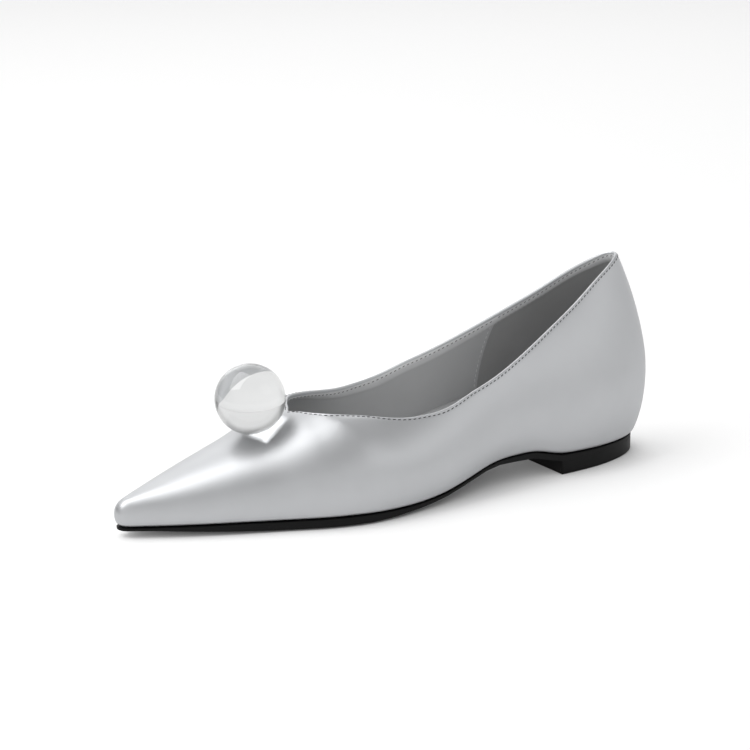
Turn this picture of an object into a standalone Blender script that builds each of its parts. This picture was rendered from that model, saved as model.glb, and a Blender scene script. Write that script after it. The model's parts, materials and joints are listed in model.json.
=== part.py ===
"""Pointed toe flat shoe with a clear ball on the vamp: a left shoe, in metres, +Z up.

The toe points to -Y and the outer side of the foot is +X. The shoe stands on its heel and forefoot, and
its origin is the middle of its bounding box, on the floor.
"""
from collections import namedtuple
from math import cos, radians, sin

import bmesh
import bpy
import numpy as np
from mathutils import Vector

# Driving dimensions
LENGTH = 0.256              # sole, from the heel's back edge to the toe's tip
BALL_WIDTH = 0.0757         # sole, across the ball of the foot
BACK_HEIGHT = 0.0911        # topline above the floor at the back of the heel
THROAT_HEIGHT = 0.0424      # tip of the throat above the floor
TOE_SWING = 0.0088          # how far the toe's tip lies to the inner side of the last's axis at the heel
AXIS_START = 0.030          # from the heel's back edge to where that axis crosses the middle of the heel
HEEL_HEIGHT = 0.0064        # floor to the underside of the outsole at the heel
HEEL_LENGTH = 0.053         # heel's back edge to its straight breast
HEEL_CHAMFER = 0.0006
TOE_SPRING = 0.0026         # lift of the outsole's underside at the toe
SOLE_THICKNESS = 0.0043     # outsole under the ball of the foot
SOLE_CROWN = 0.0008         # how far the outsole's underside rises at its edges
CROWN_WIDTH = 0.007         # strip along the edge in which it rises
WALL = 0.0018               # upper: leather, backing and lining together
LASTING_MARGIN = 0.007      # strip of the upper turned in under the insole
FEATHER_ROUND = 0.0011      # rounding where the upper turns in
INSOLE_THICKNESS = 0.0025   # at the forefoot
SEAT_HEIGHT = 0.028         # footbed above the floor at the heel, on its hidden wedge
INSOLE_CLEARANCE = 0.0008   # between the insole's edge and the lining
FOOTBED_DISH = 0.0012       # how much lower the footbed is along its middle
BALL_DIAMETER = 0.030       # clear ball
BALL_SETBACK = 0.0118       # from the throat's tip forward to where the ball is seated
BALL_FLAT = 0.0015          # depth of the flat on the ball at its seat
GAP = 0.0003                # between pieces that meet

# Columns around the shoe are taken from a table of sections, toe to heel. Each row gives, on each side,
# the foot of the wall at the sole's edge and the head of the wall at the ridge or at the topline:
#   foot, head     from the heel's back edge, shares of LENGTH
#   outer, inner   foot to the last's axis on the outer and inner side, shares of BALL_WIDTH
#   half           head to the axis, share of BALL_WIDTH, 0 along the closed vamp
#   vamp, climb    height of the head: a share of THROAT_HEIGHT, and above that a share of the
#                  difference between BACK_HEIGHT and THROAT_HEIGHT
#   swell, girth   how far the wall stands out past its foot, share of BALL_WIDTH, and how far up its
#                  height it does so most
#   sweep          degrees of arc that the wall turns through above its girth
#   lean           power of that arc's lean: under 1 the wall is straighter towards its head
#   spring, lift   height of the outsole's underside: shares of TOE_SPRING and of HEEL_HEIGHT
#   thick          outsole, share of SOLE_THICKNESS
COLUMNS = "foot outer inner head half vamp climb swell girth sweep lean spring lift thick"
Section = namedtuple("Section", COLUMNS)
SECTIONS = [
    Section(1.000, 0.000, 0.000, 0.979, 0.000, 0.389, 0.00, 0.013, 0.43, 90, 1.00, 1.00, 0.00, 0.50),
    Section(0.997, 0.034, 0.034, 0.978, 0.000, 0.394, 0.00, 0.013, 0.43, 90, 1.00, 1.00, 0.00, 0.47),
    Section(0.984, 0.066, 0.066, 0.971, 0.000, 0.410, 0.00, 0.013, 0.41, 90, 1.00, 1.00, 0.00, 0.44),
    Section(0.961, 0.106, 0.106, 0.954, 0.000, 0.446, 0.00, 0.014, 0.38, 90, 1.00, 0.97, 0.00, 0.46),
    Section(0.922, 0.172, 0.172, 0.916, 0.000, 0.516, 0.00, 0.016, 0.33, 90, 1.00, 0.78, 0.00, 0.58),
    Section(0.875, 0.242, 0.238, 0.872, 0.000, 0.604, 0.00, 0.018, 0.30, 90, 1.00, 0.49, 0.00, 0.75),
    Section(0.820, 0.315, 0.300, 0.818, 0.000, 0.708, 0.00, 0.020, 0.30, 90, 1.00, 0.21, 0.00, 0.92),
    Section(0.760, 0.388, 0.365, 0.760, 0.000, 0.823, 0.00, 0.022, 0.30, 90, 1.00, 0.00, 0.00, 1.00),
    Section(0.700, 0.468, 0.425, 0.6875, 0.000, 1.000, 0.00, 0.024, 0.30, 90, 1.00, 0.00, 0.00, 1.00),
    Section(0.660, 0.505, 0.455, 0.6700, 0.105, 1.022, 0.00, 0.026, 0.30, 86, 1.00, 0.00, 0.00, 1.00),
    Section(0.615, 0.524, 0.462, 0.6460, 0.222, 1.034, 0.00, 0.028, 0.31, 80, 1.00, 0.00, 0.00, 0.93),
    Section(0.570, 0.518, 0.440, 0.590, 0.290, 0.998, 0.00, 0.032, 0.33, 66, 0.98, 0.00, 0.075, 0.775),
    Section(0.520, 0.491, 0.403, 0.525, 0.359, 0.938, 0.00, 0.038, 0.36, 52, 0.93, 0.00, 0.19, 0.60),
    Section(0.460, 0.453, 0.360, 0.460, 0.387, 0.967, 0.00, 0.046, 0.39, 42, 0.89, 0.00, 0.50, 0.49),
    Section(0.400, 0.406, 0.320, 0.400, 0.365, 1.000, 0.078, 0.054, 0.41, 40, 0.87, 0.00, 1.08, 0.47),
    Section(0.340, 0.367, 0.300, 0.340, 0.340, 1.000, 0.183, 0.060, 0.42, 40, 0.86, 0.00, 1.60, 0.54),
    Section(0.265, 0.347, 0.305, 0.268, 0.287, 1.000, 0.353, 0.060, 0.43, 41, 0.84, 0.00, 1.56, 0.69),
    Section(0.207, 0.344, 0.325, 0.215, 0.243, 1.000, 0.493, 0.060, 0.42, 43, 0.82, 0.00, 1.00, 0.62),
    Section(0.137, 0.322, 0.318, 0.154, 0.192, 1.000, 0.657, 0.067, 0.41, 43, 0.80, 0.00, 1.00, 0.49),
    Section(0.074, 0.263, 0.263, 0.100, 0.142, 1.000, 0.825, 0.076, 0.40, 42, 0.79, 0.00, 1.00, 0.40),
    Section(0.028, 0.176, 0.176, 0.061, 0.098, 1.000, 0.926, 0.082, 0.39, 41, 0.78, 0.00, 1.00, 0.33),
    Section(0.006, 0.085, 0.085, 0.037, 0.054, 1.000, 0.988, 0.085, 0.38, 40, 0.78, 0.00, 1.00, 0.30),
    Section(0.000, 0.000, 0.000, 0.029, 0.000, 1.000, 1.000, 0.086, 0.38, 40, 0.78, 0.00, 1.00, 0.30),
]
THROAT_ROW = 8              # the row whose head is the tip of the throat
FOOT_CURVE = 2.6            # how sharply the wall turns in to its foot
FOOT_OVERHANG = 0.18        # share of its swell that it stands out at once, where it turns in under itself
TOE_RIB = 0.006             # tip of the toe back to where its ribs meet on the axis
HEEL_RIB = 0.020            # and the same at the heel
RIB_EASE = 0.6              # spacing of the ribs' ends near the toe and heel, to that of their feet
MARGIN_SHARE = 0.55         # the most of a rib that the lasting margin takes, in the narrow toe
INSOLE_SETBACK = 0.012      # the insole stops this far short of the toe's tip, where the vamp comes down
WEDGE_FRONT = 0.64          # where the hidden wedge starts and where it is at full height,
WEDGE_BACK = 0.16           # from the heel's back edge, shares of LENGTH

# How finely the shapes are made
STEPS = 2                   # columns for each row of the table
FINE_STEPS = 400            # places read along the table to look up heights
PLACE_STEP = 0.02           # small part of a row, to find directions
LOWER_ROWS = 5              # faces up each column below the wall's girth
ROWS_TO_FOOT = 1.5          # power that crowds those rows towards the foot
UPPER_ROWS = 8              # and above it
INSOLE_ROWS = 3             # faces up the insole's side
DISH_SHARE = 0.45           # of the way in from the insole's edge, where its dish gets a corner
HEEL_COLUMNS = 14           # corners along one side of the heel
BALL_SUBDIVISIONS = 4
SEAT_SPAN = 12              # fine places to each side of the ball's seat, to find the ridge's slope
WELD = 0.00002
SHARP_DEGREES = 40
OUTER, INNER = 1, -1
PLACES = [step / STEPS for step in range((len(SECTIONS) - 1) * STEPS + 1)]


def slope(before, middle, after):
    """Slope at a row that keeps a smooth curve from passing above or below its rows."""
    arriving = middle - before
    leaving = after - middle
    same_way = arriving * leaving > 0
    total = np.where(same_way, arriving + leaving, 1)
    return np.where(same_way, 2 * arriving * leaving / total, 0)


def table_row(index):
    """A row as numbers, mirrored past the toe's tip and past the back of the heel."""
    last = len(SECTIONS) - 1
    inside = last - abs(last - abs(index))
    found = SECTIONS[inside]
    if inside != index:
        found = found._replace(outer=-found.outer, inner=-found.inner, half=-found.half)
    return np.array(found)


def section(place):
    """The table's row at a place counted in rows, on a smooth curve through the rows."""
    first = min(int(place), len(SECTIONS) - 2)
    share = place - first
    before, start, end, after = (table_row(first + step) for step in (-1, 0, 1, 2))
    start_slope = slope(before, start, end)
    end_slope = slope(start, end, after)
    blend = (2 * share**3 - 3 * share**2 + 1) * start + (share**3 - 2 * share**2 + share) * start_slope
    blend += (3 * share**2 - 2 * share**3) * end + (share**3 - share**2) * end_slope
    return Section(*blend)


LAST_ROW = len(SECTIONS) - 1
FINE = [section(place) for place in np.linspace(0, LAST_ROW, FINE_STEPS)]


def axis(along):
    """Sideways place of the last's axis at a distance from the heel's back edge."""
    return -TOE_SWING * (along - AXIS_START) / (LENGTH - AXIS_START)


def along_foot(along, value):
    """A value that depends on the section, read at a distance from the heel's back edge."""
    feet = [row.foot * LENGTH for row in reversed(FINE)]
    values = [value(row) for row in reversed(FINE)]
    return float(np.interp(along, feet, values))


def tread(row):
    """Height of the outsole's underside, away from its edges."""
    return row.spring * TOE_SPRING + row.lift * HEEL_HEIGHT


def tread_height(along):
    return along_foot(along, tread)


def feather_height(along):
    """Height of the outsole's top."""
    return along_foot(along, lambda row: tread(row) + row.thick * SOLE_THICKNESS)


def place_at(along):
    """The place whose foot is at a distance from the heel's back edge."""
    feet = [row.foot * LENGTH for row in reversed(FINE)]
    return float(np.interp(along, feet, np.linspace(LAST_ROW, 0, FINE_STEPS)))


def point(along, aside, height):
    """A point given from the heel's back edge, from the axis and from the floor."""
    return Vector((axis(along) + aside, -along, height))


def foot(place, side):
    """Foot of the wall on the floor plan: where the upper meets the sole's edge."""
    row = section(place)
    breadth = row.outer if side == OUTER else row.inner
    return point(row.foot * LENGTH, side * breadth * BALL_WIDTH, 0)


def outward(place, side):
    """Level direction out of the shoe, square to the sole's edge."""
    if place <= 0:
        return Vector((0, -1, 0))
    if place >= LAST_ROW:
        return Vector((0, 1, 0))
    ahead = foot(place - PLACE_STEP, side)
    behind = foot(place + PLACE_STEP, side)
    backwards = (behind - ahead).normalized()
    return Vector((backwards.y * side, -backwards.x * side, 0))


def head(place, side):
    """Head of the wall: on the ridge of the vamp or on the topline."""
    row = section(place)
    height = row.vamp * THROAT_HEIGHT + row.climb * (BACK_HEIGHT - THROAT_HEIGHT)
    return point(row.head * LENGTH, side * row.half * BALL_WIDTH, height)


def wall(place, side):
    """Outer face of the upper at one column: its points from the foot to the head."""
    row = section(place)
    base = foot(place, side)
    base.z = feather_height(-base.y) + GAP
    top = head(place, side)
    girth = base + outward(place, side) * row.swell * BALL_WIDTH
    girth.z = base.z + row.girth * (top.z - base.z)
    low = base.z + FEATHER_ROUND
    points = []
    for step in range(LOWER_ROWS):
        share = (step / LOWER_ROWS) ** ROWS_TO_FOOT
        level = girth + (base - girth) * (1 - FOOT_OVERHANG) * (1 - share) ** FOOT_CURVE
        level.z = low + (girth.z - low) * share
        points.append(level)
    sweep = radians(row.sweep)
    for step in range(UPPER_ROWS + 1):
        angle = sweep * step / UPPER_ROWS
        level = girth + (top - girth) * ((1 - cos(angle)) / (1 - cos(sweep))) ** row.lean
        level.z = girth.z + (top.z - girth.z) * sin(angle) / sin(sweep)
        points.append(level)
    return points


def rib_end(place, side):
    """Point on the axis, on the floor plan, that a column's foot looks towards."""
    along = -foot(place, side).y
    along = max(along, HEEL_RIB + RIB_EASE * along)
    ahead = LENGTH - along
    return point(LENGTH - max(ahead, TOE_RIB + RIB_EASE * ahead), 0, 0)


def inset(place, side, distance, clearance=0.0):
    """The foot moved in along its rib, at most by the share that keeps the narrow toe open."""
    base = foot(place, side)
    rib = rib_end(place, side) - base
    return base + rib.normalized() * (min(distance, MARGIN_SHARE * rib.length) + clearance)


def raised(corner, height):
    """A point of the floor plan lifted to a height that depends on how far along the shoe it is."""
    return Vector((corner.x, corner.y, height(-corner.y)))


def new_object(name, mesh, material, collection, parent):
    made = bpy.data.objects.new(name, mesh)
    made.data.materials.append(material)
    made.parent = parent
    collection.objects.link(made)
    return made


def loft(name, columns):
    """Mesh through a closed ring of columns, which run outwards and up on the outside of the shoe."""
    shape = bmesh.new()
    rings = [[shape.verts.new(corner) for corner in column] for column in columns]
    for here, following in zip(rings, rings[1:] + rings[:1]):
        for low in range(len(here) - 1):
            shape.faces.new((here[low], following[low], following[low + 1], here[low + 1]))
    bmesh.ops.remove_doubles(shape, verts=shape.verts, dist=WELD)
    bmesh.ops.dissolve_degenerate(shape, edges=shape.edges, dist=WELD)
    mesh = bpy.data.meshes.new(name)
    shape.to_mesh(mesh)
    shape.free()
    mesh.shade_smooth()
    mesh.set_sharp_from_angle(angle=radians(SHARP_DEGREES))
    return mesh


def around(first_place=0.0):
    """Places of the columns, down the outer side from the toe to the heel and back up the inner side."""
    places = [first_place] + [place for place in PLACES if place > first_place + PLACE_STEP]
    back = places[-2:0:-1] if first_place == 0 else places[-2::-1]
    return [(place, OUTER) for place in places] + [(place, INNER) for place in back]


def upper_mesh():
    """The outer face of the upper, with its lasting margin turned in under it."""
    columns = []
    for place, side in around():
        turned = [inset(place, side, distance) for distance in (LASTING_MARGIN, FEATHER_ROUND)]
        turned = [raised(corner, feather_height) + Vector((0, 0, GAP)) for corner in turned]
        columns.append(turned + wall(place, side))
    return loft("upper", columns)


def outsole_mesh():
    """The outsole: its underside is crowned along the edges, and its top follows the upper."""
    columns = []
    for place, side in around():
        edge = foot(place, side)
        heel_share = min(max(-edge.y / HEEL_LENGTH - 1, 0), 1)
        crown = Vector((0, 0, SOLE_CROWN * heel_share))
        rib = rib_end(place, side)
        lasted = inset(place, side, LASTING_MARGIN)
        columns.append([
            raised(rib, tread_height),
            raised(inset(place, side, CROWN_WIDTH), tread_height),
            raised(edge, tread_height) + crown,
            raised(edge, feather_height),
            raised(lasted, feather_height),
            raised(rib, feather_height),
        ])
    return loft("outsole", columns)


def eased(share):
    """A share from 0 to 1 that starts and ends gently."""
    share = min(max(share, 0), 1)
    return 3 * share**2 - 2 * share**3


def footbed_height(along):
    """Height of the insole's top: level at the forefoot, then up over the hidden wedge to the seat."""
    front = WEDGE_FRONT * LENGTH
    back = WEDGE_BACK * LENGTH
    level = feather_height(max(along, front)) + 2 * GAP + WALL + INSOLE_THICKNESS
    return level + (SEAT_HEIGHT - level) * eased((front - along) / (front - back))


def lining(place, side, distance):
    """Points that lie a distance in from the upper's outer face at one column, from the foot up."""
    behind = wall(min(place + PLACE_STEP, LAST_ROW), side)
    ahead = wall(max(place - PLACE_STEP, 0), side)
    middle = wall(place, side)
    points = []
    for index in range(len(middle) - 1):
        backwards = (behind[index] - ahead[index]) * side
        upwards = middle[index + 1] - middle[max(index - 1, 0)]
        points.append(middle[index] - backwards.cross(upwards).normalized() * distance)
    return points


def insole_mesh():
    """The insole with its wedge: it fills the opening in the lasting margin and fits the lining."""
    first_place = place_at(LENGTH - INSOLE_SETBACK)
    columns = []
    for place, side in around(first_place):
        rib = rib_end(place, side)
        plug = inset(place, side, LASTING_MARGIN, clearance=INSOLE_CLEARANCE)
        plug_low = raised(plug, feather_height) + Vector((0, 0, GAP))
        plug_high = plug_low + Vector((0, 0, WALL + GAP))
        fitted = lining(place, side, WALL + INSOLE_CLEARANCE)
        low = plug_high.z
        high = footbed_height(-fitted[0].y)
        edges = []
        for step in range(INSOLE_ROWS + 1):
            level = low + (high - low) * step / INSOLE_ROWS
            heights = [corner.z for corner in fitted]
            level_x = np.interp(level, heights, [corner.x for corner in fitted])
            level_y = np.interp(level, heights, [corner.y for corner in fitted])
            edges.append(Vector((level_x, level_y, level)))
        middle_low = raised(rib, feather_height) + Vector((0, 0, GAP))
        dished = []
        for share in (DISH_SHARE, 1):
            across = edges[-1].lerp(rib, share)
            depth = FOOTBED_DISH * (1 - (1 - share) ** 2)
            dished.append(raised(across, footbed_height) - Vector((0, 0, depth)))
        columns.append([middle_low, plug_low, plug_high] + edges + dished)
    return loft("insole", columns)


def heel_mesh():
    """The heel block: the heel seat's outline with a straight breast, and a chamfered tread."""
    places = list(np.linspace(place_at(HEEL_LENGTH), LAST_ROW, HEEL_COLUMNS))
    outline = [foot(place, OUTER) for place in places] + [foot(place, INNER) for place in places[-2::-1]]
    shape = bmesh.new()
    tread_face = shape.faces.new([shape.verts.new(corner) for corner in outline])
    if tread_face.normal.z < 0:
        tread_face.normal_flip()
    pushed = bmesh.ops.extrude_face_region(shape, geom=[tread_face])
    top = [item for item in pushed["geom"] if isinstance(item, bmesh.types.BMVert)]
    bmesh.ops.translate(shape, verts=top, vec=(0, 0, HEEL_HEIGHT - GAP))
    bmesh.ops.recalc_face_normals(shape, faces=shape.faces)
    rim = [edge for edge in shape.edges if all(abs(corner.co.z) < WELD for corner in edge.verts)]
    bmesh.ops.bevel(shape, geom=rim, offset=HEEL_CHAMFER, segments=1, affect="EDGES")
    mesh = bpy.data.meshes.new("heel")
    shape.to_mesh(mesh)
    shape.free()
    return mesh


def ball_mesh():
    """The clear ball, with the small flat that it is seated on at the bottom."""
    radius = BALL_DIAMETER / 2
    shape = bmesh.new()
    bmesh.ops.create_icosphere(shape, subdivisions=BALL_SUBDIVISIONS, radius=radius)
    everything = shape.verts[:] + shape.edges[:] + shape.faces[:]
    seat = Vector((0, 0, BALL_FLAT - radius))
    bmesh.ops.bisect_plane(shape, geom=everything, plane_co=seat, plane_no=(0, 0, -1), clear_outer=True)
    bmesh.ops.holes_fill(shape, edges=[edge for edge in shape.edges if edge.is_boundary])
    bmesh.ops.recalc_face_normals(shape, faces=shape.faces)
    mesh = bpy.data.meshes.new("ball")
    shape.to_mesh(mesh)
    shape.free()
    mesh.shade_smooth()
    mesh.set_sharp_from_angle(angle=radians(SHARP_DEGREES))
    return mesh


def seat_ball(ball):
    """Stand the ball on the ridge of the vamp, square to it."""
    ridge = [head(place, OUTER) for place in np.linspace(0, THROAT_ROW, FINE_STEPS)]
    seat_along = -ridge[-1].y + BALL_SETBACK
    lower = max(index for index, corner in enumerate(ridge) if -corner.y >= seat_along)
    downhill = (ridge[lower - SEAT_SPAN] - ridge[lower + SEAT_SPAN]).normalized()
    square = (Vector((0, 0, 1)) - downhill * downhill.z).normalized()
    ball.location = ridge[lower] + square * (BALL_DIAMETER / 2 - BALL_FLAT + GAP)
    ball.rotation_euler = square.to_track_quat("Z", "Y").to_euler()


def principled(name, colour, roughness, metallic=0.0, transmission=0.0):
    material = bpy.data.materials.new(name)
    material.use_nodes = True
    shader = material.node_tree.nodes["Principled BSDF"]
    shader.inputs["Base Color"].default_value = (*colour, 1.0)
    shader.inputs["Roughness"].default_value = roughness
    shader.inputs["Metallic"].default_value = metallic
    shader.inputs["Transmission Weight"].default_value = transmission
    return material


def stand_on_origin(parent, pieces):
    """Move the parent so that the middle of the bounding box's bottom lies on the world's origin."""
    bpy.context.view_layer.update()
    graph = bpy.context.evaluated_depsgraph_get()
    corners = []
    for piece in pieces:
        evaluated = piece.evaluated_get(graph)
        corners += [evaluated.matrix_world @ corner.co for corner in evaluated.data.vertices]
    middle = [(min(values) + max(values)) / 2 for values in zip(*corners)]
    parent.location = (-middle[0], -middle[1], -min(corner.z for corner in corners))


def main():
    for leftover in list(bpy.data.objects):
        bpy.data.objects.remove(leftover)
    shoe = bpy.data.collections.new("pointed toe flat shoe")
    bpy.context.scene.collection.children.link(shoe)
    frame = bpy.data.objects.new("shoe", None)
    shoe.objects.link(frame)

    silver = principled("silver leather", (0.62, 0.63, 0.65), 0.36, metallic=0.6)
    grey = principled("grey lining", (0.20, 0.20, 0.21), 0.6)
    black = principled("black sole", (0.012, 0.012, 0.013), 0.4)
    clear = principled("clear acrylic", (0.95, 0.96, 0.96), 0.02, transmission=1.0)

    upper = new_object("upper", upper_mesh(), silver, shoe, frame)
    shell = upper.modifiers.new("wall", "SOLIDIFY")
    shell.thickness = WALL
    shell.offset = -1
    shell.use_even_offset = True
    insole = new_object("insole", insole_mesh(), grey, shoe, frame)
    outsole = new_object("outsole", outsole_mesh(), black, shoe, frame)
    heel = new_object("heel", heel_mesh(), black, shoe, frame)
    ball = new_object("ball", ball_mesh(), clear, shoe, frame)
    seat_ball(ball)
    stand_on_origin(frame, [upper, insole, outsole, heel, ball])


main()
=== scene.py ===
"""A pointed toe flat in silver leather with a clear ball on the vamp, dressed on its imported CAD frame."""
import json
from math import cos, pi, radians, sin

import bmesh
import bpy
from mathutils import Matrix, Quaternion, Vector
from mathutils.bvhtree import BVHTree
from mathutils.geometry import interpolate_bezier
from mathutils.kdtree import KDTree

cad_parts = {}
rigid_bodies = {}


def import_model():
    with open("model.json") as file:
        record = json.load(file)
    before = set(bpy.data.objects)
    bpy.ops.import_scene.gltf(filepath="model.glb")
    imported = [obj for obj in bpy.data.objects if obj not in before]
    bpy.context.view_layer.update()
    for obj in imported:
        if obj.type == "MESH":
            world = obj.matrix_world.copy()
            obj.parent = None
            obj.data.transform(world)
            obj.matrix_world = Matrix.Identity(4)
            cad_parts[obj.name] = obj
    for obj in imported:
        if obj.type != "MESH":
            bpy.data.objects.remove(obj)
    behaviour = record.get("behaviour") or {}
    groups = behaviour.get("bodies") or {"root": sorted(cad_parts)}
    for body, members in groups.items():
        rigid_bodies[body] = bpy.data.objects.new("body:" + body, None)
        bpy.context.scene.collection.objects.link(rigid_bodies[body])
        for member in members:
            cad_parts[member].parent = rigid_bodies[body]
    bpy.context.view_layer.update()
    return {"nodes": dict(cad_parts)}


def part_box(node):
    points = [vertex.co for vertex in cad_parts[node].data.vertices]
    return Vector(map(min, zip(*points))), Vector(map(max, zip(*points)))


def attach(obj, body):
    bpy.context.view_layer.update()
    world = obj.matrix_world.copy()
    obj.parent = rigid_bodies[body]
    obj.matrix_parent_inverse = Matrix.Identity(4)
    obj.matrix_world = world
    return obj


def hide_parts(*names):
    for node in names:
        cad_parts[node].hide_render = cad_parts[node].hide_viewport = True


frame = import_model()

scene = bpy.context.scene

# The camera stands off the toe's outer side, a little above the shoe, with a long lens: the view of a
# catalogue photograph. It is level, and looks along its own axis with no shift.
CAMERA_PLACE = (0.9403, -0.6190, 0.3778)
CAMERA_AZIMUTH = radians(57)
CAMERA_ELEVATION = radians(16.2)
LENS_MM = 130.6

bpy.ops.object.select_all(action="DESELECT")
bpy.ops.object.camera_add(location=CAMERA_PLACE, rotation=(pi / 2 - CAMERA_ELEVATION, 0, CAMERA_AZIMUTH))
camera = bpy.context.object
camera.name = "camera"
camera.data.lens = LENS_MM
scene.camera = camera

# The studio: a pale matt table whose surface glows, which is painted light, dimmed under and beside the shoe
# into a painted contact shadow; a big soft box high on the far side of the toe, whose light runs down the
# ridge of the vamp and through the ball, weaker panels behind and to the right, and a pale room with a white
# backdrop and a black flag on the left.
FLOOR_SIZE = 3
FLOOR_COLOUR = (0.60, 0.60, 0.60, 1)
FLOOR_ROUGHNESS = 0.9
PAINTED_FLOOR_GLOW = 0.48   # strength of the table's painted glow, light that its own surface gives off
GLOW_GAP = 0.034   # what stands closer than this to a spot of the table dims its glow there: the painted shadow
GLOW_SHUT = 0.10   # share of open sky up to which a spot stays dark
GLOW_OPEN = 0.60   # share from which it glows in full
GLOW_LEAN = Vector((-0.30, -0.50, 0.81))   # the middle of that sky, which puts the painted shade on the heel's side
ROOM_LEVELS = ((0.0, 0.66), (0.35, 0.73), (0.80, 0.34))   # sine of the elevation, the room's brightness there
BACKDROP_TILT = radians(-25)
BACKDROP = (0.50, 0.72, 1.0)   # cosine off its middle where it fades out, where it is full, its brightness
FLAG = (0.70, 0.92, 0.15)      # the same for the flag
SOFT_BOXES = (   # name, place, width, height, turn about its own axis, power in watts
    ("key", Vector((-0.284, -0.583, 1.070)), 1.29, 0.80, radians(-48.9), 10),
    ("back", Vector((-1.142, 0.605, 0.941)), 1.20, 0.70, 0, 2.5),
    ("fill", Vector((1.190, 0.840, 1.060)), 1.00, 1.00, 0, 1.35),
)

bpy.ops.mesh.primitive_plane_add(size=FLOOR_SIZE)
floor = bpy.context.object
floor.name = "floor"
floor_paint = bpy.data.materials.new("floor_paint")
floor_paint.use_nodes = True
paint_nodes, paint_links = floor_paint.node_tree.nodes, floor_paint.node_tree.links
paint = paint_nodes["Principled BSDF"]
paint.inputs["Base Color"].default_value = FLOOR_COLOUR
paint.inputs["Roughness"].default_value = FLOOR_ROUGHNESS
# The table's emission is painted light, and the ambient occlusion that dims it near the shoe is a painted
# contact shadow.
paint.inputs["Emission Color"].default_value = (1, 1, 1, 1)
shadow_occlusion = paint_nodes.new("ShaderNodeAmbientOcclusion")
shadow_occlusion.inputs["Distance"].default_value = GLOW_GAP
lean = paint_nodes.new("ShaderNodeCombineXYZ")
for axis, share in zip("XYZ", GLOW_LEAN.normalized()):
    lean.inputs[axis].default_value = share
paint_links.new(lean.outputs["Vector"], shadow_occlusion.inputs["Normal"])
glow = paint_nodes.new("ShaderNodeMapRange")
glow.inputs["From Min"].default_value, glow.inputs["From Max"].default_value = GLOW_SHUT, GLOW_OPEN
glow.inputs["To Max"].default_value = PAINTED_FLOOR_GLOW
paint_links.new(shadow_occlusion.outputs["AO"], glow.inputs["Value"])
paint_links.new(glow.outputs["Result"], paint.inputs["Emission Strength"])
floor.data.materials.append(floor_paint)

room = bpy.data.worlds.new("room")
room.use_nodes = True
room_nodes, room_links = room.node_tree.nodes, room.node_tree.links
direction = room_nodes.new("ShaderNodeTexCoord")
rise = room_nodes.new("ShaderNodeSeparateXYZ")
levels = room_nodes.new("ShaderNodeValToRGB")
levels.color_ramp.interpolation = "EASE"
levels.color_ramp.elements.new(0.5)
for stop, (place, level) in zip(levels.color_ramp.elements, ROOM_LEVELS):
    stop.position, stop.color = place, (level, level, level, 1)
room_links.new(direction.outputs["Generated"], rise.inputs["Vector"])
room_links.new(rise.outputs["Z"], levels.inputs["Fac"])
painted = levels.outputs["Color"]
far_side = Vector((-sin(CAMERA_AZIMUTH) * cos(BACKDROP_TILT), cos(CAMERA_AZIMUTH) * cos(BACKDROP_TILT),
                   sin(BACKDROP_TILT)))
left_side = Vector((-cos(CAMERA_AZIMUTH), -sin(CAMERA_AZIMUTH), 0))
for side, (start, end, level) in ((far_side, BACKDROP), (left_side, FLAG)):
    along = room_nodes.new("ShaderNodeVectorMath")
    along.operation = "DOT_PRODUCT"
    along.inputs[1].default_value = side
    fade = room_nodes.new("ShaderNodeMapRange")
    fade.interpolation_type = "SMOOTHSTEP"
    fade.inputs["From Min"].default_value, fade.inputs["From Max"].default_value = start, end
    cover = room_nodes.new("ShaderNodeMix")
    cover.data_type = "RGBA"
    cover.inputs["B"].default_value = (level, level, level, 1)
    room_links.new(direction.outputs["Generated"], along.inputs[0])
    room_links.new(along.outputs["Value"], fade.inputs["Value"])
    room_links.new(fade.outputs["Result"], cover.inputs["Factor"])
    room_links.new(painted, cover.inputs["A"])
    painted = cover.outputs["Result"]
room_links.new(painted, room_nodes["Background"].inputs["Color"])
scene.world = room

for name, place, width, height, turn, power in SOFT_BOXES:
    bpy.ops.object.light_add(type="AREA", location=place)
    lamp = bpy.context.object
    lamp.name = name
    lamp.data.shape = "RECTANGLE"
    lamp.data.size, lamp.data.size_y = width, height
    lamp.data.energy = power
    lamp.data.name = name
    lamp.visible_transmission = name == "key"
    lamp.rotation_euler = (place.to_track_quat("Z", "Y") @ Quaternion((0, 0, 1), turn)).to_euler()

scene.view_settings.view_transform = "Standard"
scene.cycles.blur_glossy = 0

# The upper: one skin of silver nappa, lasted over the sole. Its topline is folded in, which leaves a soft
# round edge, and the V of the throat dips behind the ball.
WELD = 0.00002
SHARP_ANGLE = radians(60)
QUAD_ANGLE = radians(60)
PLACE_WEIGHT = 20   # what a face's place counts beside its normal, in the search for a region's first face
FOLD_ROUND = 0.00088


def copy_of(node, name):
    """A new piece with a CAD node's mesh, its loose triangles merged and joined into quads."""
    bpy.ops.object.select_all(action="DESELECT")
    piece = bpy.data.objects.new(name, frame["nodes"][node].data.copy())
    piece.data.materials.clear()
    scene.collection.objects.link(piece)
    bpy.context.view_layer.objects.active = piece
    piece.select_set(True)
    bpy.ops.object.mode_set(mode="EDIT")
    bpy.ops.mesh.select_mode(type="FACE")
    bpy.ops.mesh.select_all(action="SELECT")
    bpy.ops.mesh.remove_doubles(threshold=WELD)
    bpy.ops.mesh.customdata_custom_splitnormals_clear()
    bpy.ops.mesh.tris_convert_to_quads(face_threshold=QUAD_ANGLE, shape_threshold=QUAD_ANGLE)
    bpy.ops.mesh.select_all(action="DESELECT")
    bpy.ops.object.mode_set(mode="OBJECT")
    piece.data.shade_smooth()
    return piece


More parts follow.
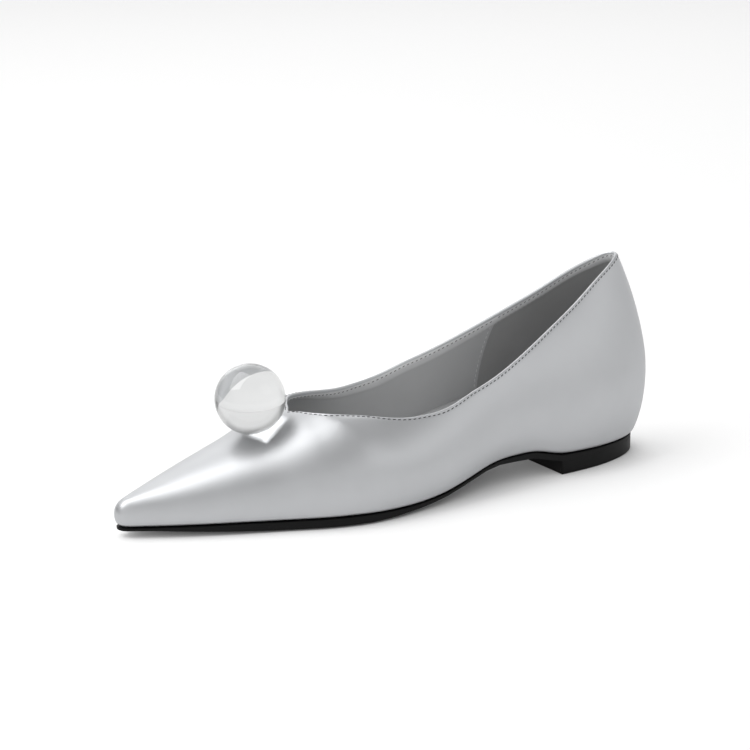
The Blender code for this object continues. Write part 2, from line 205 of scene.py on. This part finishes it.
def region(piece, best):
    """Indices of the faces that no sharp edge parts from the face for which best() is highest."""
    bpy.ops.object.mode_set(mode="EDIT")
    bpy.ops.mesh.select_mode(type="EDGE")
    bpy.ops.mesh.select_all(action="DESELECT")
    bpy.ops.mesh.edges_select_sharp(sharpness=SHARP_ANGLE)
    bpy.ops.mesh.mark_seam()
    bpy.ops.mesh.select_mode(type="FACE")
    bpy.ops.mesh.select_all(action="DESELECT")
    shape = bmesh.from_edit_mesh(piece.data)
    max(shape.faces, key=best).select = True
    bmesh.update_edit_mesh(piece.data)
    bpy.ops.mesh.select_linked(delimit={"SEAM"})
    shape = bmesh.from_edit_mesh(piece.data)
    found = {face.index for face in shape.faces if face.select}
    bpy.ops.object.mode_set(mode="OBJECT")
    return found


def select_faces(piece, wanted):
    """Go into edit mode with the faces selected for which wanted(face) is true."""
    bpy.ops.object.select_all(action="DESELECT")
    bpy.context.view_layer.objects.active = piece
    piece.select_set(True)
    bpy.ops.object.mode_set(mode="EDIT")
    bpy.ops.mesh.select_mode(type="FACE")
    bpy.ops.mesh.select_all(action="DESELECT")
    shape = bmesh.from_edit_mesh(piece.data)
    shape.normal_update()
    for face in shape.faces:
        face.select_set(wanted(face))
    shape.select_flush_mode()
    bmesh.update_edit_mesh(piece.data)


def add_modifier(piece, kind, **settings):
    """Add a modifier to a piece and apply it."""
    bpy.ops.object.select_all(action="DESELECT")
    bpy.context.view_layer.objects.active = piece
    piece.select_set(True)
    modifier = piece.modifiers.new(kind, kind)
    for setting, value in settings.items():
        setattr(modifier, setting, value)
    bpy.ops.object.modifier_apply(modifier=modifier.name)


def at_the_top(face):
    return face.calc_center_median().z * PLACE_WEIGHT + face.normal.z


def on_the_outer_side(face):
    return face.calc_center_median().x * PLACE_WEIGHT + face.normal.x


def on_the_inner_side(face):
    return face.calc_center_median().x * PLACE_WEIGHT - face.normal.x


upper = copy_of("upper", "upper_leather")
rim = region(upper, at_the_top)
inside = region(upper, on_the_inner_side)
outside = region(upper, on_the_outer_side)


def edge_line(piece, one, other):
    """Points along the edge between two regions, from its front point round the outer side and back."""
    shape = bmesh.new()
    shape.from_mesh(piece.data)
    shape.faces.ensure_lookup_table()
    shared = [edge for edge in shape.edges if len(edge.link_faces) == 2
              and ({face.index for face in edge.link_faces} & one)
              and ({face.index for face in edge.link_faces} & other)]
    beside = {}
    for edge in shared:
        for corner in edge.verts:
            beside.setdefault(corner.index, []).append(edge.other_vert(corner))
    first = min((corner for edge in shared for corner in edge.verts), key=lambda corner: corner.co.y)
    line, at = [first], max(beside[first.index], key=lambda corner: corner.co.x)
    while at != first:
        line.append(at)
        onward = [corner for corner in beside[at.index] if corner != line[-2]]
        at = onward[0]
    points = [corner.co.copy() for corner in line]
    shape.free()
    return points


FOLD_ROWS = (0.0018, 0.0013, 0.00092)   # loops below the topline: under, on and over its stitch line
STITCH_LINE = FOLD_ROWS[1]
STITCH_DIP = 0.00012
STITCH_LINE_REACH = 0.00008   # corners this close to the stitch line are on it


def nearest_on(line):
    """A function that gives a line's nearest point, that point's number and how far off it is."""
    tree = KDTree(len(line))
    for index, point in enumerate(line):
        tree.insert(point, index)
    tree.balance()
    return tree.find


def smooth_line(corners, parts=12):
    """Closely set points on a smooth closed curve whose one corner is its first point."""
    closed = corners + corners[:1]
    line = []
    for index in range(len(closed) - 1):
        start, end = closed[index], closed[index + 1]
        before, after = closed[max(index - 1, 0)], closed[min(index + 2, len(closed) - 1)]
        leaving, arriving = start + (end - before) / 6, end - (after - start) / 6
        bend = interpolate_bezier(start, leaving, arriving, end, parts + 1)
        line += [Vector(point) for point in bend[:-1]]
    return line


outer_line = smooth_line(edge_line(upper, rim, outside))
inner_line = smooth_line(edge_line(upper, rim, inside))
nearest_outer, nearest_inner = nearest_on(outer_line), nearest_on(inner_line)


def from_outer_line(point):
    return nearest_outer(point)[2]


def from_inner_line(point):
    return nearest_inner(point)[2]


skin_faces = len(upper.data.polygons)
for row in FOLD_ROWS:
    select_faces(upper, lambda face: face.index in rim)
    bpy.ops.mesh.inset(thickness=row, use_outset=True, use_even_offset=True)
    bpy.ops.object.mode_set(mode="OBJECT")

bpy.ops.object.mode_set(mode="EDIT")
bpy.ops.mesh.select_mode(type="VERT")
bpy.ops.mesh.select_all(action="DESELECT")
shape = bmesh.from_edit_mesh(upper.data)
for corner in shape.verts:
    off_line = min(from_outer_line(corner.co), from_inner_line(corner.co)) - STITCH_LINE
    corner.select_set(abs(off_line) < STITCH_LINE_REACH)
shape.select_flush_mode()
bmesh.update_edit_mesh(upper.data)
bpy.ops.transform.shrink_fatten(value=-STITCH_DIP)
bpy.ops.object.mode_set(mode="OBJECT")

lining = upper.copy()
lining.data = upper.data.copy()
lining.name = "lining"
scene.collection.objects.link(lining)

select_faces(upper, lambda face: face.index in rim)
bpy.ops.mesh.region_to_loop()
bpy.ops.mesh.bevel(offset=FOLD_ROUND, segments=3, affect="EDGES", profile=0.5)
bpy.ops.mesh.mark_seam(clear=True)
bpy.ops.object.mode_set(mode="OBJECT")
add_modifier(upper, "SUBSURF", levels=2, render_levels=2)
upper.data.shade_smooth()
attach(upper, "root")
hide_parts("upper")


PORE_DEPTH = 0.5   # share of the cells in the grain's height, beside the finer hair-like noise


def grain_group():
    """Shader group: the fine uneven grain of leather, as a height and as a mask for colour."""
    group = bpy.data.node_groups.new("leather_grain", "ShaderNodeTree")
    for name, value in (("Pore Scale", 900), ("Cloud Scale", 60)):
        group.interface.new_socket(name, in_out="INPUT", socket_type="NodeSocketFloat").default_value = value
    group.interface.new_socket("Height", in_out="OUTPUT", socket_type="NodeSocketFloat")
    group.interface.new_socket("Clouds", in_out="OUTPUT", socket_type="NodeSocketFloat")
    nodes, links = group.nodes, group.links
    inputs, outputs = nodes.new("NodeGroupInput"), nodes.new("NodeGroupOutput")
    place = nodes.new("ShaderNodeTexCoord")
    cells = nodes.new("ShaderNodeTexVoronoi")
    cells.feature = "SMOOTH_F1"
    hairs = nodes.new("ShaderNodeTexNoise")
    hairs.inputs["Detail"].default_value = 6
    clouds = nodes.new("ShaderNodeTexNoise")
    clouds.inputs["Detail"].default_value = 3
    both = nodes.new("ShaderNodeMath")
    both.operation = "MULTIPLY_ADD"
    both.inputs[1].default_value = PORE_DEPTH
    links.new(place.outputs["Object"], cells.inputs["Vector"])
    links.new(place.outputs["Object"], hairs.inputs["Vector"])
    links.new(place.outputs["Object"], clouds.inputs["Vector"])
    links.new(inputs.outputs["Pore Scale"], cells.inputs["Scale"])
    links.new(inputs.outputs["Pore Scale"], hairs.inputs["Scale"])
    links.new(inputs.outputs["Cloud Scale"], clouds.inputs["Scale"])
    links.new(cells.outputs["Distance"], both.inputs[0])
    links.new(hairs.outputs["Fac"], both.inputs[2])
    links.new(both.outputs["Value"], outputs.inputs["Height"])
    links.new(clouds.outputs["Fac"], outputs.inputs["Clouds"])
    return group


leather_grain = grain_group()


def leather(name, dark, light, roughness, bump, pore_scale=900, cloud_scale=60, **plain):
    """A leather: its colour drifts between two shades, its gloss drifts with it, and its grain stands up."""
    material = bpy.data.materials.new(name)
    material.use_nodes = True
    nodes, links = material.node_tree.nodes, material.node_tree.links
    shader = nodes["Principled BSDF"]
    for socket, value in plain.items():
        shader.inputs[socket.replace("_", " ")].default_value = value
    grain = nodes.new("ShaderNodeGroup")
    grain.node_tree = leather_grain
    grain.inputs["Pore Scale"].default_value = pore_scale
    grain.inputs["Cloud Scale"].default_value = cloud_scale
    shades = nodes.new("ShaderNodeMix")
    shades.data_type = "RGBA"
    shades.inputs["A"].default_value, shades.inputs["B"].default_value = dark, light
    gloss = nodes.new("ShaderNodeMapRange")
    gloss.inputs["To Min"].default_value, gloss.inputs["To Max"].default_value = roughness
    relief = nodes.new("ShaderNodeBump")
    relief.inputs["Strength"].default_value = 1.0
    relief.inputs["Distance"].default_value = bump
    links.new(grain.outputs["Clouds"], shades.inputs["Factor"])
    links.new(grain.outputs["Clouds"], gloss.inputs["Value"])
    links.new(grain.outputs["Height"], relief.inputs["Height"])
    links.new(shades.outputs["Result"], shader.inputs["Base Color"])
    links.new(gloss.outputs["Result"], shader.inputs["Roughness"])
    links.new(relief.outputs["Normal"], shader.inputs["Normal"])
    return material


upper.data.materials.append(leather("silver_nappa", dark=(0.60, 0.61, 0.625, 1), light=(0.66, 0.67, 0.685, 1),
                                    roughness=(0.40, 0.48), bump=0.00001, Metallic=0.85))

# The table's painted glow reaches the leather at half strength: the leather leaves out the table and takes a
# weaker lamp of its own that lies on it.
TABLE_LIGHT = 0.5
TABLE_LAMP_LIFT = 0.0002   # above the table, so that the table doesn't cover it

leather_pieces = bpy.data.collections.new("leather_pieces")
leather_pieces.objects.link(upper)
leather_pieces.collection_objects[0].light_linking.link_state = "EXCLUDE"
floor.light_linking.receiver_collection = leather_pieces
bpy.ops.object.light_add(type="AREA", location=(0, 0, TABLE_LAMP_LIFT), rotation=(pi, 0, 0))
table_lamp = bpy.context.object
table_lamp.name = table_lamp.data.name = "table_lamp"
table_lamp.data.size = FLOOR_SIZE
table_lamp.data.energy = TABLE_LIGHT * PAINTED_FLOOR_GLOW * pi * FLOOR_SIZE ** 2
table_lamp.visible_camera = table_lamp.visible_transmission = False
lit_pieces = bpy.data.collections.new("lit_by_table_lamp")
lit_pieces.objects.link(upper)
table_lamp.light_linking.receiver_collection = lit_pieces

# The lining: grey kid glued inside the upper, in two pieces. The front one laps over the heel piece at an
# upright seam, and both bulge a little over the turned-in edge of the upper, just below the topline.
LINING_SUNK = 0.00006
TURN_IN_RISE = (0.0010, 0.0022)   # below the topline, where the bulge over the turned-in edge starts, is full
TURN_IN_FALL = (0.0036, 0.0052)   # and where it starts to fall, is gone
TURN_IN_BULGE = 0.00035
EDGE_BAND_FADE = (0.0034, 0.0050)   # where the paler band along the turned-in edge starts to fade, is gone
EDGE_BAND_COLOUR = (0.72, 0.725, 0.73, 1)
SEAM_POINT = Vector((0, 0.0650, 0.045))
SEAM_FACING = Vector((0, 0.988, -0.155))
SEAM_LAP = 0.0012
MARGIN_TOP = 0.020   # the lasting margin lies below this, and its faces look up
LOOKS_UP = 0.5       # a face whose normal rises more than this looks up
CREASE_ANGLE = radians(40)
KID_GRAIN = 0.00002
LININGS = {   # piece: leather, dark shade, light shade, roughness, thickness
    "lining": ("grey_kid", (0.50, 0.505, 0.51, 1), (0.56, 0.565, 0.57, 1), (0.38, 0.46), 0.00035),
    "heel_lining": ("grey_suede", (0.34, 0.34, 0.342, 1), (0.40, 0.40, 0.402, 1), (0.6, 0.75), 0.00015),
}


def belongs_to_lining(face):
    middle = face.calc_center_median()
    if face.index in inside:
        return not (middle.z < MARGIN_TOP and face.normal.z > LOOKS_UP)
    on_inner_wall = from_inner_line(middle) < from_outer_line(middle)
    return face.index >= skin_faces and on_inner_wall and from_inner_line(middle) > FOLD_ROWS[2]


def eased(value, low, high):
    """0 below low and 1 above high, with a smooth rise between them."""
    share = min(max((value - low) / (high - low), 0), 1)
    return share * share * (3 - 2 * share)


select_faces(lining, lambda face: not belongs_to_lining(face))
bpy.ops.mesh.delete(type="FACE")
bpy.ops.mesh.select_all(action="SELECT")
bpy.ops.mesh.mark_seam(clear=True)
bpy.ops.object.mode_set(mode="OBJECT")
add_modifier(lining, "SUBSURF", levels=2, render_levels=2)
facings = [corner.normal.copy() for corner in lining.data.vertices]
for corner, facing in zip(lining.data.vertices, facings):
    depth = from_inner_line(corner.co)
    bulge = eased(depth, *TURN_IN_RISE) * (1 - eased(depth, *TURN_IN_FALL)) * TURN_IN_BULGE
    corner.co += facing * (bulge - LINING_SUNK)
edge_band = lining.data.attributes.new("edge_band", "FLOAT", "POINT")
for corner, band in zip(lining.data.vertices, edge_band.data):
    band.value = 1 - eased(from_inner_line(corner.co), *EDGE_BAND_FADE)
heel_lining = lining.copy()
heel_lining.data = lining.data.copy()
heel_lining.name = "heel_lining"
scene.collection.objects.link(heel_lining)


def cut(piece, point, facing, **cleared):
    """Cut a piece at a plane, and clear the side that is asked for."""
    select_faces(piece, lambda face: True)
    bpy.ops.mesh.bisect(plane_co=point, plane_no=facing, **cleared)
    bpy.ops.object.mode_set(mode="OBJECT")


cut(lining, SEAM_POINT, SEAM_FACING, clear_outer=True)
cut(heel_lining, SEAM_POINT - SEAM_FACING * SEAM_LAP, SEAM_FACING, clear_inner=True)
for piece in (lining, heel_lining):
    leather_name, dark, light, roughness, thickness = LININGS[piece.name]
    add_modifier(piece, "SOLIDIFY", thickness=thickness, offset=1)
    piece.data.shade_smooth()
    piece.data.set_sharp_from_angle(angle=CREASE_ANGLE)
    kid = leather(leather_name, dark, light, roughness, KID_GRAIN, pore_scale=1200)
    nodes, links = kid.node_tree.nodes, kid.node_tree.links
    band = nodes.new("ShaderNodeAttribute")
    band.attribute_name = "edge_band"
    paler = nodes.new("ShaderNodeMix")
    paler.data_type = "RGBA"
    paler.inputs["B"].default_value = EDGE_BAND_COLOUR
    colour = nodes["Principled BSDF"].inputs["Base Color"]
    links.new(band.outputs["Fac"], paler.inputs["Factor"])
    links.new(colour.links[0].from_socket, paler.inputs["A"])
    links.new(paler.outputs["Result"], colour)
    piece.data.materials.append(kid)
    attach(piece, "root")

# The stitching: grey thread in a lockstitch close under the topline, which shows outside and inside, and a
# paler row along the lining's seam. One stitch is modelled, and the rest are copies of it.
STITCH_PITCH = 0.00225
STITCH_LENGTH = 0.00115
STITCH_END = 0.00022
END_SINK = 0.9         # of the thread's radius: how far each end goes down into the leather
END_TAPER = 0.5
END_FACING = 0.9       # a face whose normal lies along the stitch by more than this is its end
THREAD_RADIUS = 0.00021
OUTSIDE_STITCH = 0.94  # share of the full size, which the seam has
INSIDE_STITCH = 0.75   # the bobbin side pulls in further
STITCH_TURN = radians(9)
INSIDE_REACH = 0.001   # into the shoe, from where the nearest leather is its face
SEAM_MARGIN = 0.0015   # from the lapped edge to its row of stitches
SEAM_PITCH = 0.0023
SEAM_HEIGHTS = (0.030, 0.075)   # the seam's row is laid between these, where it finds the lining
THREAD_ROUGHNESS = (0.6, 0.75)
THREAD_GRAIN = 0.00004

bpy.ops.object.select_all(action="DESELECT")
bpy.ops.mesh.primitive_cylinder_add(vertices=8, radius=THREAD_RADIUS, depth=STITCH_LENGTH,
                                    rotation=(0, pi / 2, 0))
stitch = bpy.context.object
stitch.name = "stitch"
bpy.ops.object.transform_apply(location=True, rotation=True, scale=True)
for end in (1, -1):
    select_faces(stitch, lambda face: face.normal.x * end > END_FACING)
    bpy.ops.mesh.extrude_region_move(
        TRANSFORM_OT_translate={"value": (end * STITCH_END, 0, -THREAD_RADIUS * END_SINK)})
    bpy.ops.transform.resize(value=(1, END_TAPER, END_TAPER))
    bpy.ops.object.mode_set(mode="OBJECT")
stitch.data.shade_smooth()


def surface_of(piece):
    return BVHTree.FromPolygons([corner.co for corner in piece.data.vertices],
                                [face.vertices[:] for face in piece.data.polygons])


def topline_places(line, nearest_other, surface, side, reach=0):
    """Where the stitches below one edge of the topline sit: (place, direction, normal) of each."""
    places, gone = [], STITCH_PITCH / 2
    for start, end in zip(line, line[1:]):
        step = end - start
        gone += step.length
        if gone < STITCH_PITCH:
            continue
        gone -= STITCH_PITCH
        point = end - step.normalized() * gone
        outwards = (point - nearest_other(point)[0]) * side
        up = outwards.cross(step).normalized()
        off = step.cross(up).normalized() * side * reach
        place, normal, _, _ = surface.find_nearest(point - up * STITCH_LINE + off)
        places.append((place, step.normalized(), normal))
    return places


def sew(name, places, material, size=1):
    """Copy the stitch to each place, and join the copies into one piece."""
    copies = []
    for place, direction, normal in places:
        sideways = normal.cross(direction).normalized()
        direction = sideways.cross(normal)
        turned = Matrix((direction, sideways, normal)).transposed().to_4x4()
        copy = stitch.copy()
        copy.data = stitch.data.copy()
        copy.data.transform(Matrix.Translation(place) @ turned @ Matrix.Rotation(STITCH_TURN, 4, "Z")
                            @ Matrix.Scale(size, 4))
        scene.collection.objects.link(copy)
        copies.append(copy)
    bpy.ops.object.select_all(action="DESELECT")
    for copy in copies:
        copy.select_set(True)
    bpy.context.view_layer.objects.active = copies[0]
    bpy.ops.object.join()
    copies[0].name = name
    copies[0].data.materials.append(material)
    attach(copies[0], "root")


def thread(name, dark, light):
    """A matt thread, whose fine grain is its twist."""
    return leather(name, dark, light, THREAD_ROUGHNESS, THREAD_GRAIN, pore_scale=3000)


grey_thread = thread("grey_thread", (0.02, 0.02, 0.021, 1), (0.04, 0.04, 0.041, 1))
bobbin_thread = thread("bobbin_thread", (0.07, 0.07, 0.071, 1), (0.11, 0.11, 0.111, 1))
pale_thread = thread("pale_thread", (0.70, 0.70, 0.705, 1), (0.80, 0.80, 0.805, 1))
front_surface = surface_of(lining)
outer_places = topline_places(outer_line, nearest_inner, surface_of(upper), 1)
sew("topline_stitching", outer_places, grey_thread, OUTSIDE_STITCH)

inner_places = topline_places(inner_line, nearest_outer, front_surface, -1, INSIDE_REACH)
heel_places = topline_places(inner_line, nearest_outer, surface_of(heel_lining), -1, INSIDE_REACH)
seam_y = SEAM_POINT.y + SEAM_LAP
inside_places = [front if front[0].y < seam_y else back for front, back in zip(inner_places, heel_places)]
sew("inside_topline_stitching", inside_places, bobbin_thread, INSIDE_STITCH)

seam_places = []
for side in (1, -1):
    height = SEAM_HEIGHTS[0]
    while height < SEAM_HEIGHTS[1]:
        along = SEAM_POINT.y - (height - SEAM_POINT.z) * SEAM_FACING.z / SEAM_FACING.y - SEAM_MARGIN
        place, normal, _, _ = front_surface.ray_cast(Vector((0, along, height)), Vector((side, 0, 0)))
        if place and from_inner_line(place) > TURN_IN_RISE[1]:
            seam_places.append((place, Vector((0, -SEAM_FACING.z, SEAM_FACING.y)), normal))
        height += SEAM_PITCH
sew("seam_stitching", seam_places, pale_thread)
bpy.data.objects.remove(stitch)

# The insole: a sock of grey kid glued over the fibreboard insole and its foam wedge, which fill the shoe
# from wall to wall. The sock is cut to meet the lining all round, with a soft edge.
SOCK_THICKNESS = 0.0008
SOCK_EDGE = 0.0003
SOCK_REACH = 0.0004   # how far its edge reaches past the insole's, to the lining
SOCK_GRAIN = 0.00002
BOARD_GRAIN = 0.00005

sock = copy_of("insole", "sock")
select_faces(sock, lambda face: face.normal.z < LOOKS_UP)
bpy.ops.mesh.delete(type="FACE")
shape = bmesh.from_edit_mesh(sock.data)
reaches = {}
for edge in shape.edges:
    if edge.is_boundary:
        outwards = (edge.verts[1].co - edge.verts[0].co).cross(Vector((0, 0, 1))).normalized()
        if outwards.dot(edge.link_faces[0].calc_center_median() - edge.verts[0].co) > 0:
            outwards.negate()
        for corner in edge.verts:
            reaches[corner] = reaches.get(corner, Vector()) + outwards
for corner, outwards in reaches.items():
    corner.co += outwards.normalized() * SOCK_REACH
bmesh.update_edit_mesh(sock.data)
bpy.ops.object.mode_set(mode="OBJECT")
add_modifier(sock, "SUBSURF", levels=2, render_levels=2)
add_modifier(sock, "SOLIDIFY", thickness=SOCK_THICKNESS, offset=1)
add_modifier(sock, "BEVEL", width=SOCK_EDGE, segments=2, limit_method="ANGLE", angle_limit=CREASE_ANGLE)
sock.data.shade_smooth()
sock.data.set_sharp_from_angle(angle=CREASE_ANGLE)
sock.data.materials.append(leather("sock_kid", (0.48, 0.483, 0.487, 1), (0.54, 0.543, 0.547, 1), (0.42, 0.52),
                                   SOCK_GRAIN, pore_scale=1000))
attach(sock, "root")
board = leather("fibreboard", (0.30, 0.24, 0.17, 1), (0.42, 0.34, 0.25, 1), (0.8, 0.9), BOARD_GRAIN,
                pore_scale=700)
frame["nodes"]["insole"].data.materials.clear()
frame["nodes"]["insole"].data.materials.append(board)

# The sole: one black rubber unit, thin under the forefoot and waist, with a low block heel and a lift
# under it. Its edges are broken, and its rubber has a satin moulded skin.
EDGE_ROUND = 0.00025
LIFT_HEIGHT = 0.0010
LIFT_GROOVE = 0.00012
HEEL_JOINT = 0.00032
BREAST_CORNER = 0.0008
BREAST_REACH = 0.002   # the breast's upright corners lie within this of the heel's front
UPRIGHT = 0.9          # an edge or normal whose rise is more than this is upright
SEAT_TOP = 0.007       # edges of the outsole below this, from the heel's front back, lie on the heel
SEAT_SLACK = 0.0005
RUBBER_GRAIN = 0.000012
HEEL_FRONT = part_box("heel")[0].y

rubber = leather("black_rubber", (0.006, 0.006, 0.006, 1), (0.009, 0.009, 0.0092, 1), (0.42, 0.52),
                 RUBBER_GRAIN, pore_scale=1500, cloud_scale=90, Specular_IOR_Level=0.1)
outsole = copy_of("outsole", "outsole_rubber")
heel_block = copy_of("heel", "heel_block")


def bevel_where(piece, wanted, width, segments=3):
    """Round the sharp edges for which wanted(middle of the edge, its direction) is true."""
    bpy.ops.object.select_all(action="DESELECT")
    bpy.context.view_layer.objects.active = piece
    piece.select_set(True)
    bpy.ops.object.mode_set(mode="EDIT")
    bpy.ops.mesh.select_mode(type="EDGE")
    bpy.ops.mesh.select_all(action="DESELECT")
    bpy.ops.mesh.edges_select_sharp(sharpness=CREASE_ANGLE)
    shape = bmesh.from_edit_mesh(piece.data)
    for edge in shape.edges:
        start, end = edge.verts
        if edge.select and not wanted((start.co + end.co) / 2, (end.co - start.co).normalized()):
            edge.select_set(False)
    shape.select_flush_mode()
    bmesh.update_edit_mesh(piece.data)
    bpy.ops.mesh.bevel(offset=width, segments=segments, affect="EDGES", profile=0.5)
    bpy.ops.object.mode_set(mode="OBJECT")


def is_breast_corner(middle, along):
    return abs(along.z) > UPRIGHT and middle.y < HEEL_FRONT + BREAST_REACH


def is_free_edge(middle, along):
    return not (middle.y > HEEL_FRONT - SEAT_SLACK and middle.z < SEAT_TOP)


def is_lift_edge(middle, along):
    return abs(middle.z - LIFT_HEIGHT) < WELD


select_faces(heel_block, lambda face: face.normal.z > UPRIGHT)
bpy.ops.transform.translate(value=(0, 0, HEEL_JOINT))
bpy.ops.object.mode_set(mode="OBJECT")
bevel_where(heel_block, is_breast_corner, BREAST_CORNER)
bevel_where(outsole, is_free_edge, EDGE_ROUND)
lift = heel_block.copy()
lift.data = heel_block.data.copy()
lift.name = "heel_lift"
scene.collection.objects.link(lift)
lift_plane = Vector((0, 0, LIFT_HEIGHT))
cut(heel_block, lift_plane, Vector((0, 0, 1)), clear_inner=True, use_fill=True)
cut(lift, lift_plane, Vector((0, 0, 1)), clear_outer=True, use_fill=True)
for piece in (heel_block, lift):
    bevel_where(piece, is_lift_edge, LIFT_GROOVE, segments=2)
for piece in (outsole, heel_block, lift):
    piece.data.shade_smooth()
    piece.data.set_sharp_from_angle(angle=CREASE_ANGLE)
    piece.data.materials.append(rubber)
    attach(piece, "root")
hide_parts("outsole")
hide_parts("heel")

# The ball: cast clear acrylic, polished all over, with a grey tint that is painted shade for the darker room
# it refracts.
# Underneath it is ground flat, where it is glued to the ridge of the vamp just ahead of the throat.
BALL_RADIUS = 0.015
FLAT_REACH = 0.97   # of the radius: only the flat's faces have their middles closer to the ball's centre
BALL_SHADE_TINT = (0.74, 0.745, 0.745, 1)
ACRYLIC_IOR = 1.49

low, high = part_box("ball")
ball_centre = Vector(((low.x + high.x) / 2, (low.y + high.y) / 2, high.z - BALL_RADIUS))
flat_faces = [face for face in frame["nodes"]["ball"].data.polygons
              if (face.center - ball_centre).length < BALL_RADIUS * FLAT_REACH]
flat_facing = sum((face.normal * face.area for face in flat_faces), Vector()).normalized()
flat_depth = max((face.center - ball_centre).dot(flat_facing) for face in flat_faces)
flat_middle = ball_centre + flat_facing * flat_depth
bpy.ops.object.select_all(action="DESELECT")
bpy.ops.mesh.primitive_ico_sphere_add(subdivisions=6, radius=BALL_RADIUS, location=ball_centre)
ball = bpy.context.object
ball.name = "clear_ball"
bpy.ops.object.transform_apply(location=True, rotation=True, scale=True)
cut(ball, flat_middle, flat_facing, clear_outer=True, use_fill=True)
ball.data.shade_smooth()
ball.data.set_sharp_from_angle(angle=CREASE_ANGLE)
acrylic = bpy.data.materials.new("clear_acrylic")
acrylic.use_nodes = True
shader = acrylic.node_tree.nodes["Principled BSDF"]
# A painted shade: the grey tint darkens all that is seen through the ball.
shader.inputs["Base Color"].default_value = BALL_SHADE_TINT
shader.inputs["Roughness"].default_value = 0.0
shader.inputs["IOR"].default_value = ACRYLIC_IOR
shader.inputs["Transmission Weight"].default_value = 1.0
ball.data.materials.append(acrylic)
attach(ball, "root")
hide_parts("ball")
